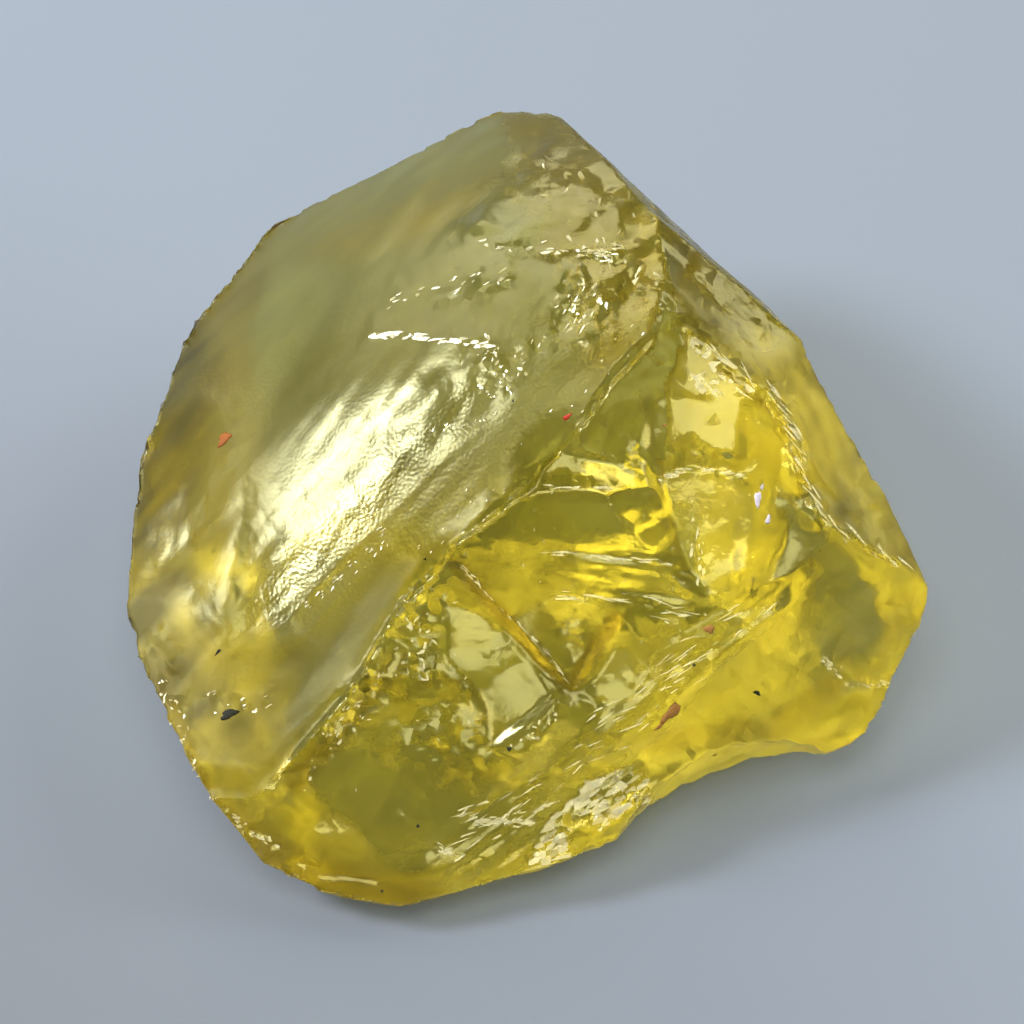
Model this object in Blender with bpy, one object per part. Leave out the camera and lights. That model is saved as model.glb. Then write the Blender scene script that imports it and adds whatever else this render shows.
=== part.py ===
"""Rough topaz: one uncut crystal fragment, about 25 mm wide, lying on a small flat cleavage face.

The fragment is a block bounded by broken faces. Its corners are named points, in millimetres, and the
block is their convex hull. Shell-shaped (conchoidal) fractures are then scooped out of the block with
large balls. +Z is up, -Y is the side of the glassy window face, and the origin is under the middle of
the block, on the surface it lies on.
"""

import bmesh
import bpy
from mathutils import Vector

MM = 0.001
STONE = "topaz"

# The corners' own numbers put the middle of the block's box here; the block is shifted back by it.
BOX_MIDDLE = Vector((0.45, 0.60, 0.0))

# Corners of the ridges that stand highest. The long ridge runs from the peak down to the front left,
# between the broad satin face on the left and the window face on the right.
RIDGE_CORNERS = {
    "peak": (4.8, 2.3, 13.2),
    "peak_back": (4.4, 6.1, 11.9),
    "long_ridge_high": (3.7, 0.2, 12.4),
    "long_ridge_middle": (-1.8, -4.2, 8.9),
    "long_ridge_low": (-6.3, -8.9, 5.3),
    "right_ridge_high": (6.1, 0.7, 12.4),
    "right_ridge_middle": (8.9, -1.8, 9.6),
    "right_ridge_end": (11.7, -3.2, 6.7),
    "back_edge_high": (2.8, 9.9, 10.3),
    "back_edge_top": (1.4, 12.7, 9.0),
    "lobe_crest": (8.4, -4.9, 6.5),
    "band_crest": (1.7, -9.1, 4.1),
}

# Corners of the outline as seen from above, the widest girth of the block, from the back clockwise.
GIRTH_CORNERS = {
    "back": (-0.5, 13.5, 8.2),
    "right_back": (7.6, 3.1, 11.2),
    "right_shoulder": (9.4, 1.9, 10.2),
    "right": (10.3, 0.7, 9.0),
    "right_low": (12.0, -2.1, 6.6),
    "lobe_tip": (13.0, -3.5, 5.2),
    "lobe_right": (12.1, -5.3, 3.4),
    "lobe_front": (11.0, -6.8, 2.0),
    "lobe_low": (9.6, -7.2, 1.5),
    "keel_right": (2.1, -10.1, 1.4),
    "keel": (0.6, -11.1, 1.0),
    "toe": (-3.4, -12.3, 1.0),
    "toe_left": (-5.6, -12.0, 1.1),
    "front_left": (-7.5, -11.3, 1.8),
    "front_corner": (-9.1, -9.9, 3.6),
    "left_front": (-11.1, -6.5, 3.8),
    "left": (-12.1, -3.6, 4.4),
    "left_back": (-11.8, 1.8, 5.0),
    "back_left_low": (-10.6, 6.7, 5.0),
    "back_left": (-8.1, 10.9, 5.2),
    "back_shoulder": (-3.9, 12.6, 6.5),
}

# The broad satin face swells gently between the long ridge and the left of the girth.
SWELL_CORNERS = {
    "swell_front": (-8.0, -4.6, 5.9),
    "swell_left": (-10.1, 1.8, 5.5),
    "swell_middle": (-6.5, -0.6, 7.7),
    "swell_high": (-3.8, 3.3, 9.7),
    "swell_back": (-1.0, 6.3, 11.3),
}

# Corners of the broken faces underneath, which flare out from the foot to the girth.
BELLY_CORNERS = {
    "belly_right": (10.9, -2.6, 2.2),
    "belly_back_right": (8.0, 2.8, 4.6),
    "belly_back": (1.6, 9.6, 4.4),
    "belly_back_left": (-6.6, 8.4, 2.2),
    "belly_left": (-10.2, -0.6, 1.9),
    "belly_front_left": (-8.8, -7.4, 1.2),
}

# The flat cleavage face that the block lies on.
FOOT_CORNERS = {
    "foot_toe": (-3.2, -10.4, 0.0),
    "foot_keel": (1.2, -9.2, 0.0),
    "foot_lobe": (7.4, -5.2, 0.0),
    "foot_right": (7.8, -1.2, 0.0),
    "foot_back_right": (4.6, 3.4, 0.0),
    "foot_back": (-2.2, 4.4, 0.0),
    "foot_left": (-6.6, 0.4, 0.0),
    "foot_front_left": (-6.2, -7.0, 0.0),
}

# Shell-shaped fractures: a point on the block's face, the way that face looks, the ball's radius and
# how deep the ball bites below the point.
FRACTURES = {
    "window_upper": ((6.0, -1.8, 9.8), (0.20, -0.62, 0.76), 12.0, 0.65),
    "window_middle": ((1.6, -5.7, 7.2), (0.10, -0.66, 0.75), 14.0, 0.55),
    "window_lower": ((-3.5, -9.9, 4.1), (-0.05, -0.70, 0.71), 11.0, 0.5),
    "under_lobe": ((6.8, -8.3, 1.15), (0.32, -0.92, -0.20), 5.5, 1.2),
    "toe_notch": ((-1.0, -11.6, 1.5), (0.10, -0.90, 0.42), 1.5, 0.45),
    "lobe_face": ((10.4, -5.4, 4.4), (0.52, -0.72, 0.46), 7.0, 0.3),
    "right_strip": ((9.2, -0.5, 9.4), (0.68, -0.06, 0.73), 12.0, 0.3),
    "back_hollow": ((-1.5, 10.6, 4.2), (-0.10, 0.80, -0.60), 12.0, 1.0),
    "back_right_hollow": ((6.9, 5.3, 5.2), (0.76, 0.54, -0.36), 8.0, 0.8),
    "left_hollow": ((-10.6, 3.8, 3.0), (-0.78, 0.22, -0.58), 10.0, 0.9),
    "left_front_hollow": ((-10.0, -6.2, 2.2), (-0.66, -0.30, -0.68), 9.0, 0.7),
    "belly_back_hollow": ((-3.5, 6.8, 1.4), (-0.10, 0.45, -0.88), 9.0, 0.8),
    "belly_right_hollow": ((8.6, 0.6, 2.2), (0.62, 0.30, -0.72), 9.0, 0.8),
}
BALL_SUBDIVISIONS = 4

STONE_COLOUR = (0.62, 0.52, 0.06, 1.0)
STONE_ROUGHNESS = 0.12
STONE_IOR = 1.62


def clear_scene():
    for leftover in list(bpy.data.objects):
        bpy.data.objects.remove(leftover, do_unlink=True)


def collection(name):
    made = bpy.data.collections.new(name)
    bpy.context.scene.collection.children.link(made)
    return made


def placed(point):
    """A corner's place in metres, with the block's box centred over the origin."""
    return (Vector(point) - BOX_MIDDLE) * MM


def mesh_object(name, bm, home):
    """Turns the bmesh into an object in the collection called home."""
    mesh = bpy.data.meshes.new(name)
    bmesh.ops.recalc_face_normals(bm, faces=bm.faces)
    bm.to_mesh(mesh)
    bm.free()
    made = bpy.data.objects.new(name, mesh)
    home.objects.link(made)
    return made


def hull_block(name, corners, home):
    """The convex block that the corner points span."""
    bm = bmesh.new()
    for corner in corners:
        bm.verts.new(placed(corner))
    hull = bmesh.ops.convex_hull(bm, input=bm.verts)
    spare = set(hull["geom_interior"] + hull["geom_unused"])
    inside = [vertex for vertex in bm.verts if vertex in spare]
    bmesh.ops.delete(bm, geom=inside, context="VERTS")
    return mesh_object(name, bm, home)


def fracture_ball(name, point, outward, radius, depth, home):
    """A ball whose skin passes depth below the point, so that it scoops a shell-shaped hollow there."""
    bm = bmesh.new()
    bmesh.ops.create_icosphere(bm, subdivisions=BALL_SUBDIVISIONS, radius=radius * MM)
    centre = Vector(point) + Vector(outward).normalized() * (radius - depth)
    bmesh.ops.translate(bm, vec=placed(centre), verts=bm.verts)
    ball = mesh_object(name, bm, home)
    ball.hide_render = True
    ball.display_type = "WIRE"
    return ball


def scoop(block, ball):
    cut = block.modifiers.new(ball.name, "BOOLEAN")
    cut.operation = "DIFFERENCE"
    cut.solver = "EXACT"
    cut.object = ball


def crystal_material():
    """Clear yellow topaz."""
    material = bpy.data.materials.new(STONE)
    material.use_nodes = True
    shader = material.node_tree.nodes["Principled BSDF"]
    shader.inputs["Base Color"].default_value = STONE_COLOUR
    shader.inputs["Roughness"].default_value = STONE_ROUGHNESS
    shader.inputs["Metallic"].default_value = 0.0
    shader.inputs["IOR"].default_value = STONE_IOR
    shader.inputs["Transmission Weight"].default_value = 1.0
    return material


clear_scene()
stone_home = collection(STONE)
cutter_home = collection("fracture_balls")

corner_groups = (RIDGE_CORNERS, GIRTH_CORNERS, SWELL_CORNERS, BELLY_CORNERS, FOOT_CORNERS)
all_corners = [corner for group in corner_groups for corner in group.values()]
stone = hull_block(STONE, all_corners, stone_home)
stone.data.materials.append(crystal_material())
for fracture, (point, outward, radius, depth) in FRACTURES.items():
    scoop(stone, fracture_ball(fracture, point, outward, radius, depth, cutter_home))
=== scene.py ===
"""The looks of a rough topaz: a broken, clear yellow crystal of about 25 mm, lying on a pale surface.

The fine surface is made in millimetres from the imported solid's block, fracture by fracture, and put
back into metres at the end. Names of faces: the great face is the broad satin one on the left, the
window is the glassy one in front, the strip is the narrow one on the right, and the lobe is the
rounded lower right.
"""
import math

import bmesh
import bpy
import numpy as np
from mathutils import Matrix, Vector, noise
from mathutils.bvhtree import BVHTree
from mathutils.kdtree import KDTree


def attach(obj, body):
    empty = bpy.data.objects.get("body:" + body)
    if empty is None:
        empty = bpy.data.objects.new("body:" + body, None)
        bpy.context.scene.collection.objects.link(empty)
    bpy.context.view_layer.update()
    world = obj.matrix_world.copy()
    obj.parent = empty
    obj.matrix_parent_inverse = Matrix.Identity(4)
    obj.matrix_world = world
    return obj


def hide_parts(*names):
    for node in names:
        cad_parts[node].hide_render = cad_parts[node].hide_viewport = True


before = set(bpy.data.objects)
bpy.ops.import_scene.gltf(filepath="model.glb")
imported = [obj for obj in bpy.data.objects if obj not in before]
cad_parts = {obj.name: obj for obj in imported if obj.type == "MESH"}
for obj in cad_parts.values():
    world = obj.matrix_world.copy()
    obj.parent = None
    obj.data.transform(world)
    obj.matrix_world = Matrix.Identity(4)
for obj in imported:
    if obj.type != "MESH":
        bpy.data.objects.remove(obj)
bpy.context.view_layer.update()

# ---------------------------------------------------------------------------------------------------
# The rough topaz. One broken piece of a clear yellow crystal, uncut, and harder than glass but as
# brittle. It grew as one piece and nothing holds it: it lies loose on a small flat face underneath.
# It is made in the order in which it broke: the block, deep shells, small breaks, then wear.
MM = 0.001
STONE = "topaz"
TOPAZ_IOR = 1.62

# Its breaks are placed by where they lie in one view, from the front and above through a long lens, as
# (across, down) in a frame 1024 pixels wide.
VIEW_ELEVATION = math.radians(55.0)
VIEW_DISTANCE = 139.7
VIEW_AIM = np.array((-0.45, 2.6, 0.0))
VIEW_LENS = 150.0
VIEW_SENSOR = 36.0
VIEW_PIXELS = 1024

view_back = np.array((0.0, -math.cos(VIEW_ELEVATION), math.sin(VIEW_ELEVATION)))
view_up = np.array((0.0, math.sin(VIEW_ELEVATION), math.cos(VIEW_ELEVATION)))
view_right = np.array((1.0, 0.0, 0.0))
view_from = VIEW_AIM + view_back * VIEW_DISTANCE
pixel_slope = VIEW_SENSOR / VIEW_LENS / VIEW_PIXELS


def seen_at(points):
    """Where points, in millimetres, lie in the view: an array of (across, down)."""
    away = points - view_from
    depth = -(away @ view_back)
    across = (away @ view_right) / depth / pixel_slope + VIEW_PIXELS / 2
    down = VIEW_PIXELS / 2 - (away @ view_up) / depth / pixel_slope
    return np.stack([across, down], axis=1)


def sight_line(across, down):
    """The direction in which the camera sees a place in the view."""
    sideways = (across - VIEW_PIXELS / 2) * pixel_slope
    upwards = (VIEW_PIXELS / 2 - down) * pixel_slope
    return Vector(-view_back + view_right * sideways + view_up * upwards).normalized()


# The block, before it broke further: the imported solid's convex hull, as an even mesh that is finer
# where the camera looks. Its long edges stay sharp, as a fresh break leaves them.
COARSE_CELL = 0.315
LEAST_FACING = 0.05
CUTS_IN_FRONT = 2
EDGE_SNAP = 0.05
EDGE_STEP = 0.03
SHARP_EDGE = math.radians(14.0)


def convex_block(node):
    made = bmesh.new()
    for vertex in node.data.vertices:
        made.verts.new(vertex.co / MM)
    hull = bmesh.ops.convex_hull(made, input=made.verts)
    spare = set(hull["geom_interior"] + hull["geom_unused"])
    bmesh.ops.delete(made, geom=[v for v in made.verts if v in spare], context="VERTS")
    bmesh.ops.recalc_face_normals(made, faces=made.faces)
    return made


def even_mesh(block, cell):
    """The block as a mesh of even cells, cut in three each way where they face the camera."""
    data = bpy.data.meshes.new("block")
    block.to_mesh(data)
    holder = bpy.data.objects.new("block", data)
    bpy.context.scene.collection.objects.link(holder)
    remesh = holder.modifiers.new("even", "REMESH")
    remesh.mode = "VOXEL"
    remesh.voxel_size = cell
    graph = bpy.context.evaluated_depsgraph_get()
    even = bpy.data.meshes.new_from_object(holder.evaluated_get(graph))
    bpy.data.objects.remove(holder)
    made = bmesh.new()
    made.from_mesh(even)
    made.normal_update()
    toward = Vector(view_back)
    front = {edge for face in made.faces if face.normal.dot(toward) > LEAST_FACING
             for edge in face.edges}
    bmesh.ops.subdivide_edges(made, edges=list(front), cuts=CUTS_IN_FRONT, use_grid_fill=True)
    bmesh.ops.triangulate(made, faces=made.faces)
    return made


def snap_to_block(fine, block):
    """Puts every point of the fine mesh on the block's faces, and those near an edge on that edge."""
    faces = BVHTree.FromBMesh(block)
    along = []
    for edge in block.edges:
        if edge.calc_face_angle(0.0) > SHARP_EDGE:
            start, end = (v.co for v in edge.verts)
            steps = max(2, int((end - start).length / EDGE_STEP))
            along += [start.lerp(end, i / steps) for i in range(steps + 1)]
    edges = KDTree(len(along))
    for i, point in enumerate(along):
        edges.insert(point, i)
    edges.balance()
    for vertex in fine.verts:
        on_edge, _, far = edges.find(vertex.co)
        vertex.co = on_edge if far < EDGE_SNAP else faces.find_nearest(vertex.co)[0]


block = convex_block(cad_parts[STONE])
fine = even_mesh(block, COARSE_CELL)
snap_to_block(fine, block)
points = np.array([v.co for v in fine.verts])
triangles = np.array([[v.index for v in f.verts] for f in fine.faces])
fine.free()


TINY = 1e-9


def point_normals(points):
    """The outward direction at every point of the stone."""
    a, b, c = (points[triangles[:, i]] for i in range(3))
    flat = np.cross(b - a, c - a)
    summed = np.zeros_like(points)
    for i in range(3):
        np.add.at(summed, triangles[:, i], flat)
    return summed / np.maximum(np.linalg.norm(summed, axis=1), TINY)[:, None]


def unit(direction):
    direction = np.array(direction, float)
    return direction / np.linalg.norm(direction)


def smooth_step(low, high, value):
    t = np.clip((value - low) / (high - low), 0.0, 1.0)
    return t * t * (3.0 - 2.0 * t)


# Blender's noise times this runs from about -1 to 1, and each seed looks at another part of it.
NOISE_GAIN = 1.6
SEED_SHIFT = (7.31, 3.17, 5.73)


def rolling(points, size, seed):
    """Smooth noise from about -1 to 1 at the points, with bumps of that size in millimetres."""
    shifted = points / size + np.array([seed * shift for shift in SEED_SHIFT])
    return np.array([noise.noise(Vector(p)) for p in shifted]) * NOISE_GAIN


# Shell-shaped fractures. Topaz splits flat in one direction only; across it, it chips like glass, in
# shallow bowls with faint ripples round the point that was struck. Each is (a point on the block, the
# way the face there looks, ball radius, depth, ripple height, ripple spacing).
BOX_MIDDLE = np.array((0.45, 0.60, 0.0))
SHELL_RAGGED = 0.03
RAGGED_SIZE = 1.4
STRIKE_LEAN = (0.3, 0.5, 0.8)
SHELLS = {
    "window_upper": ((6.0, -1.8, 9.8), (0.20, -0.62, 0.76), 12.0, 0.75, 0.02, 0.9),
    "window_middle": ((1.6, -5.7, 7.2), (0.10, -0.66, 0.75), 14.0, 0.6, 0.012, 1.3),
    "window_lower": ((-3.5, -9.9, 4.1), (-0.05, -0.70, 0.71), 11.0, 0.55, 0.012, 1.1),
    "under_lobe": ((6.8, -8.3, 1.15), (0.32, -0.92, -0.20), 5.5, 1.2, 0.03, 0.8),
    "toe_notch": ((-1.0, -11.6, 1.5), (0.10, -0.90, 0.42), 1.5, 0.45, 0.01, 0.4),
    "lobe_face": ((10.4, -5.4, 4.4), (0.52, -0.72, 0.46), 7.0, 0.12, 0.0, 0.8),
    "right_strip": ((9.2, -0.5, 9.4), (0.68, -0.06, 0.73), 12.0, 0.3, 0.01, 0.7),
    "back_hollow": ((-1.5, 10.6, 4.2), (-0.10, 0.80, -0.60), 12.0, 1.0, 0.03, 1.2),
    "back_right_hollow": ((6.9, 5.3, 5.2), (0.76, 0.54, -0.36), 8.0, 0.8, 0.03, 1.0),
    "left_hollow": ((-10.6, 3.8, 3.0), (-0.78, 0.22, -0.58), 10.0, 0.9, 0.03, 1.1),
    "left_front_hollow": ((-10.0, -6.2, 2.2), (-0.66, -0.30, -0.68), 9.0, 0.7, 0.03, 1.0),
    "belly_back_hollow": ((-3.5, 6.8, 1.4), (-0.10, 0.45, -0.88), 9.0, 0.8, 0.03, 1.0),
    "belly_right_hollow": ((8.6, 0.6, 2.2), (0.62, 0.30, -0.72), 9.0, 0.8, 0.03, 1.0),
}


def scoop(points, at, facing, radius, depth, ripple, spacing, ragged, seed):
    """Moves the points that a ball covers straight in until they lie on the ball's far side."""
    facing = unit(facing)
    centre = np.array(at) + facing * (radius - depth)
    widest = radius + 3 * ragged + abs(ripple)
    near = np.flatnonzero(np.linalg.norm(points - centre, axis=1) < widest)
    if not len(near):
        return points
    chosen = points[near]
    strike = np.array(at) + unit(np.cross(facing, STRIKE_LEAN)) * math.sqrt(2 * radius * depth)
    wave = np.sin(np.linalg.norm(chosen - strike, axis=1) * 2 * math.pi / spacing)
    reach = radius + ripple * wave
    reach = reach + ragged * rolling(chosen, RAGGED_SIZE, seed)
    away = chosen - centre
    along = away @ facing
    under_root = along**2 + reach**2 - (away**2).sum(axis=1)
    push = along + np.sqrt(np.maximum(under_root, 0.0))
    push = np.where((under_root > 0) & (np.linalg.norm(away, axis=1) < reach), push, 0.0)
    moved = points.copy()
    moved[near] = chosen - facing * np.maximum(push, 0.0)[:, None]
    return moved


for number, (at, facing, radius, depth, ripple, spacing) in enumerate(SHELLS.values()):
    place = np.array(at) - BOX_MIDDLE
    points = scoop(points, place, facing, radius, depth, ripple, spacing, SHELL_RAGGED, number)

# The underside is broken too: only parts of the foot touch the surface, and shallow shells between
# them throw the light back up through the window. Each is (place, lean of the face, radius, depth).
FOOT_RIPPLE = 0.015
FOOT_SPACING = 0.8
FOOT_RAGGED = 0.05
FIRST_FOOT_SEED = 20
FOOT_SHELLS = [
    ((-3.5, -7.0), (0.10, 0.25), 7.0, 0.45),
    ((1.0, -3.0), (-0.20, 0.10), 8.0, 0.40),
    ((5.2, -4.4), (0.25, -0.10), 6.0, 0.35),
    ((-2.6, 0.6), (-0.15, -0.20), 9.0, 0.40),
    ((3.6, 0.8), (0.20, 0.25), 6.0, 0.35),
]
for number, ((across, along), lean, radius, depth) in enumerate(FOOT_SHELLS):
    place = np.array((across, along, 0.0)) - BOX_MIDDLE
    points = scoop(points, place, (*lean, -1.0), radius, depth, FOOT_RIPPLE, FOOT_SPACING,
                   FOOT_RAGGED, FIRST_FOOT_SEED + number)

# Fresh breaks are never quite even: two swells, each (height, size, seed), run over the whole stone.
SWELLS = [(0.05, 2.6, 1), (0.02, 0.8, 2)]
SWELL_SINK = 0.03
normals = point_normals(points)
swell = sum(height * rolling(points, size, seed) for height, size, seed in SWELLS)
points = points - normals * (swell + SWELL_SINK)[:, None]
points[:, 2] = np.maximum(points[:, 2], 0.0)

# The small breaks on the side that the camera sees. Everything is drawn in the view, and sinks the
# surface along the line of sight. Slopes are plain rises over runs.
PIXEL = 0.031
EDGE_ON, WELL_SEEN = 0.03, 0.30
STEEPEST_FACING = 0.15
seen = seen_at(points)
normals = point_normals(points)
shown = smooth_step(EDGE_ON, WELL_SEEN, normals @ view_back)
facing_us = np.maximum(normals @ view_back, STEEPEST_FACING)
block_slope = np.stack([normals @ view_right, -(normals @ view_up)], -1) / facing_us[:, None]

# What the breaks build up: how far each point sinks, the lean that it wants, how firmly it keeps to
# that lean, and how crumbly the fine relief is there.
sunk = np.zeros(len(points))
slope = np.zeros((len(points), 2))
hold = np.full(len(points), 0.06)
crumble = np.full(len(points), 0.03)


def slope_towards(way):
    """The slope in the view of a face that throws light from that direction at the camera."""
    halfway = unit(way + view_back)
    return np.array((halfway @ view_right, -(halfway @ view_up))) / (halfway @ view_back)


# The ways in which the three lights lie that the broken faces throw back at the camera.
LAMP_WAY = unit((-0.76, 0.11, 0.64))
FRONT_WAY = unit((-0.06, -0.27, 0.96))
SIDE_WAY = unit((0.74, 0.34, 0.58))
LAMP_SLOPE = slope_towards(LAMP_WAY)
FRONT_SLOPE = slope_towards(FRONT_WAY)
SIDE_SLOPE = slope_towards(SIDE_WAY)
FAR_OFF = 1e9


def to_line(line):
    """For every point: how far it is from a drawn line, on which side, and how far along."""
    near = np.full(len(seen), FAR_OFF)
    side = np.zeros(len(seen))
    along = np.zeros(len(seen))
    travelled = 0.0
    for start, end in zip(np.array(line[:-1], float), np.array(line[1:], float)):
        run = end - start
        length = np.linalg.norm(run)
        t = np.clip((seen - start) @ run / length**2, 0.0, 1.0)
        off = seen - (start + t[:, None] * run)
        far = np.linalg.norm(off, axis=1)
        closer = far < near
        near[closer] = far[closer]
        side[closer] = np.sign(run[0] * off[closer, 1] - run[1] * off[closer, 0])
        along[closer] = travelled + t[closer] * length
        travelled += length
    return near, side, along / travelled


def inside(outline, soft=2.0):
    """1 inside a drawn outline, 0 outside, with an edge that many pixels soft."""
    corners = np.array(outline, float)
    within = np.zeros(len(seen), bool)
    for (x0, y0), (x1, y1) in zip(corners, np.roll(corners, -1, axis=0)):
        crosses = (y0 > seen[:, 1]) != (y1 > seen[:, 1])
        at = x0 + (seen[:, 1] - y0) * (x1 - x0) / (y1 - y0 if y1 != y0 else TINY)
        within ^= crosses & (seen[:, 0] < at)
    near, _, _ = to_line(list(outline) + [outline[0]])
    return smooth_step(-soft, soft, np.where(within, near, -near))


FULL_SHARE = 0.3


def beside(line, width):
    """1 on a drawn line, falling to 0 at that many pixels from it."""
    near, _, _ = to_line(line)
    return 1.0 - smooth_step(FULL_SHARE * width, width, near)


def lean_over(where, change, keep=1.0):
    """Wants a region to lean by that much more, and says how firmly it keeps to that."""
    global slope, hold
    slope = slope + (where * shown)[:, None] * change
    hold = np.maximum(hold, where * keep)


TILT_HOLD = 0.5
GLEAM_HOLD = 3.0
GLEAM_MORE = 1.3


def tilt(outline, lean, soft=2.0):
    """Leans a patch: the lean is how much it sinks across and down the view."""
    lean_over(inside(outline, soft), np.array(lean), TILT_HOLD)


def gleam(where, toward, share=1.0):
    """Turns a region, wholly or in part, to a slope, such as one that throws a light at the camera.

    Its neighbours hold it back, so it is asked for a little more than it should do."""
    lean_over(where * share, GLEAM_MORE * (toward - block_slope - slope), GLEAM_HOLD)


def run_out(along, share):
    """1 along a line, falling to 0 over that share of it at each end."""
    return smooth_step(0.0, share, along) * (1.0 - smooth_step(1.0 - share, 1.0, along))


def slide(line, lean, reach, fade):
    """The surface on the right of a drawn line falls away evenly, then comes back."""
    global sunk
    near, side, along = to_line(line)
    fall = np.minimum(near, reach * np.maximum(0.0, (fade - near) / (fade - reach)))
    sunk = sunk + lean * PIXEL * fall * (side > 0) * run_out(along, 0.10) * shown * great


def ledge(line, height, riser, fade):
    """A step down on the right of a drawn line (its left when the height is negative)."""
    global sunk
    near, side, along = to_line(line)
    side = side * np.sign(height)
    step = smooth_step(0.0, riser, near) * (1.0 - smooth_step(riser, fade, near)) * (side > 0)
    sunk = sunk + abs(height) * step * run_out(along, 0.06) * shown


def groove(line, depth, width):
    """A rounded channel along a drawn line."""
    global sunk
    near, _, _ = to_line(line)
    sunk = sunk + depth * np.exp(-((near / width) ** 2)) * shown


def turned(angle):
    """The points' places along and across a direction, given in degrees up from across."""
    way = np.array((math.cos(math.radians(angle)), -math.sin(math.radians(angle))))
    return seen @ way, seen @ np.array((-way[1], way[0]))


LEAST_PART = 0.01


def cells(where, size, dice, angle, stretch):
    """Splits a region into patches: its points, the patch of each, and how many patches there are."""
    chosen = np.flatnonzero(where > LEAST_PART)
    u, v = turned(angle)
    u, v = u[chosen] / stretch, v[chosen]
    low = np.array((u.min(), v.min())) - size
    counts = np.ceil((np.array((u.max(), v.max())) + size - low) / size).astype(int)
    grid = np.stack(np.meshgrid(np.arange(counts[0]), np.arange(counts[1])), -1).reshape(-1, 2)
    middles = low + (grid + dice.uniform(0.05, 0.95, grid.shape)) * size
    tree = KDTree(len(middles))
    for i, (x, y) in enumerate(middles):
        tree.insert((x, y, 0.0), i)
    tree.balance()
    nearest = np.array([tree.find((x, y, 0.0))[1] for x, y in zip(u, v)])
    return chosen, nearest, len(middles)


SHATTER_HOLD = 3.0
MOST_CRUMBLE = 0.5


def shatter(where, size, lean, seed, angle=0.0, stretch=1.0):
    """Breaks a region into small flat facets, each with a lean of its own."""
    global hold, crumble
    dice = np.random.default_rng(seed)
    chosen, nearest, count = cells(where, size, dice, angle, stretch)
    leans = dice.normal(0.0, lean, (count, 2))
    slope[chosen] += (where * shown)[chosen, None] * leans[nearest]
    hold = np.maximum(hold, where * min(1.0, SHATTER_HOLD * lean))
    crumble = np.maximum(crumble, where * min(MOST_CRUMBLE, lean))


def chips(where, size, toward, spread, seed, angle=0.0, stretch=1.0):
    """Breaks a region into small splintered facets that mostly face one light."""
    gleam(where, toward)
    shatter(where, size, spread, seed, angle, stretch)


RIDGE_SEED_SHIFT = 3.7
RIDGE_FOOT, RIDGE_TOP = -0.05, 0.25


def ridge_noise(where, angle, spacing, length, seed):
    """Noise drawn out along one direction: a region's points, and its value at each."""
    chosen = np.flatnonzero(where > LEAST_PART)
    u, v = turned(angle)
    level = np.full(len(chosen), seed * RIDGE_SEED_SHIFT)
    places = np.stack([u[chosen] / length, v[chosen] / spacing, level], -1)
    return chosen, np.array([noise.noise(Vector(p)) for p in places])


def feathers(where, angle, spacing, length, share, toward, seed):
    """Long thin ridges, one flank of which faces a light."""
    chosen, height = ridge_noise(where, angle, spacing, length, seed)
    ridge = np.zeros(len(seen))
    ridge[chosen] = smooth_step(RIDGE_FOOT, RIDGE_TOP, height)
    gleam(where * ridge, toward, share)


def streaks(where, angle, spacing, length, depth, seed):
    """Fine parallel ridges, the way a break runs."""
    chosen, height = ridge_noise(where, angle, spacing, length, seed)
    sunk[chosen] += (where * shown)[chosen] * depth * (height * NOISE_GAIN)


BOWL_SIZES = (0.5, 1.3)


def bowls(where, count, size, depth, seed):
    """Small round chips scattered over a region."""
    global sunk
    dice = np.random.default_rng(seed)
    homes = dice.choice(len(seen), count, p=where * shown / (where * shown).sum())
    for home in homes:
        reach = size * dice.uniform(*BOWL_SIZES)
        flat = 1.0 - ((seen - seen[home]) ** 2).sum(1) / reach**2
        sunk = np.where(flat > 0, np.maximum(sunk, sunk[home] + depth * flat * reach / size), sunk)


# The drawn outlines of the faces.
LONG_RIDGE = [
    (654, 216), (659, 239), (671, 280), (672, 289), (666, 301), (659, 316), (657, 335), (636, 359),
    (614, 381), (591, 414), (564, 444), (541, 467), (532, 485), (505, 506), (478, 528), (451, 546),
    (441, 562), (416, 589), (394, 614), (385, 628), (367, 661), (351, 688), (323, 720), (303, 743),
    (256, 799), (212, 797),
]
RIGHT_RIDGE = [
    (671, 280), (679, 323), (714, 346), (742, 375), (772, 391), (790, 425), (799, 451), (811, 498),
    (820, 514), (831, 520), (876, 552), (895, 560),
]
GREAT_FACE = LONG_RIDGE + [
    (180, 810), (90, 700), (90, 540), (110, 360), (180, 240), (300, 180), (400, 120), (480, 80),
    (560, 80), (640, 180),
]
STRIP = RIGHT_RIDGE + [(950, 600), (900, 450), (840, 320), (700, 210), (650, 190)]
LOBE = [
    (787, 608), (831, 520), (895, 560), (960, 560), (960, 740), (860, 800), (640, 810), (640, 745),
    (675, 712), (716, 664),
]
BAND = [
    (436, 862), (474, 825), (530, 780), (587, 730), (640, 680), (700, 612), (787, 600), (716, 664),
    (675, 712), (640, 745), (650, 800), (600, 850), (550, 890), (470, 890),
]
great = inside(GREAT_FACE, 3.0)
strip = inside(STRIP, 3.0) * (1.0 - great)
lobe = inside(LOBE, 12.0)
band = inside(BAND, 10.0) * (1.0 - lobe)


def even_sheet(where, middle, spread):
    """How far each point lies in front of the smooth sheet that fits a region best."""
    x, y = ((seen - middle) / spread).T
    terms = np.stack([x**i * y**j for i in range(4) for j in range(4 - i)], -1)
    far = np.linalg.norm(points - view_from, axis=1)
    weight = np.sqrt(where)
    heights = np.linalg.lstsq(terms * weight[:, None], far * weight, rcond=None)[0]
    return terms @ heights - far


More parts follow.
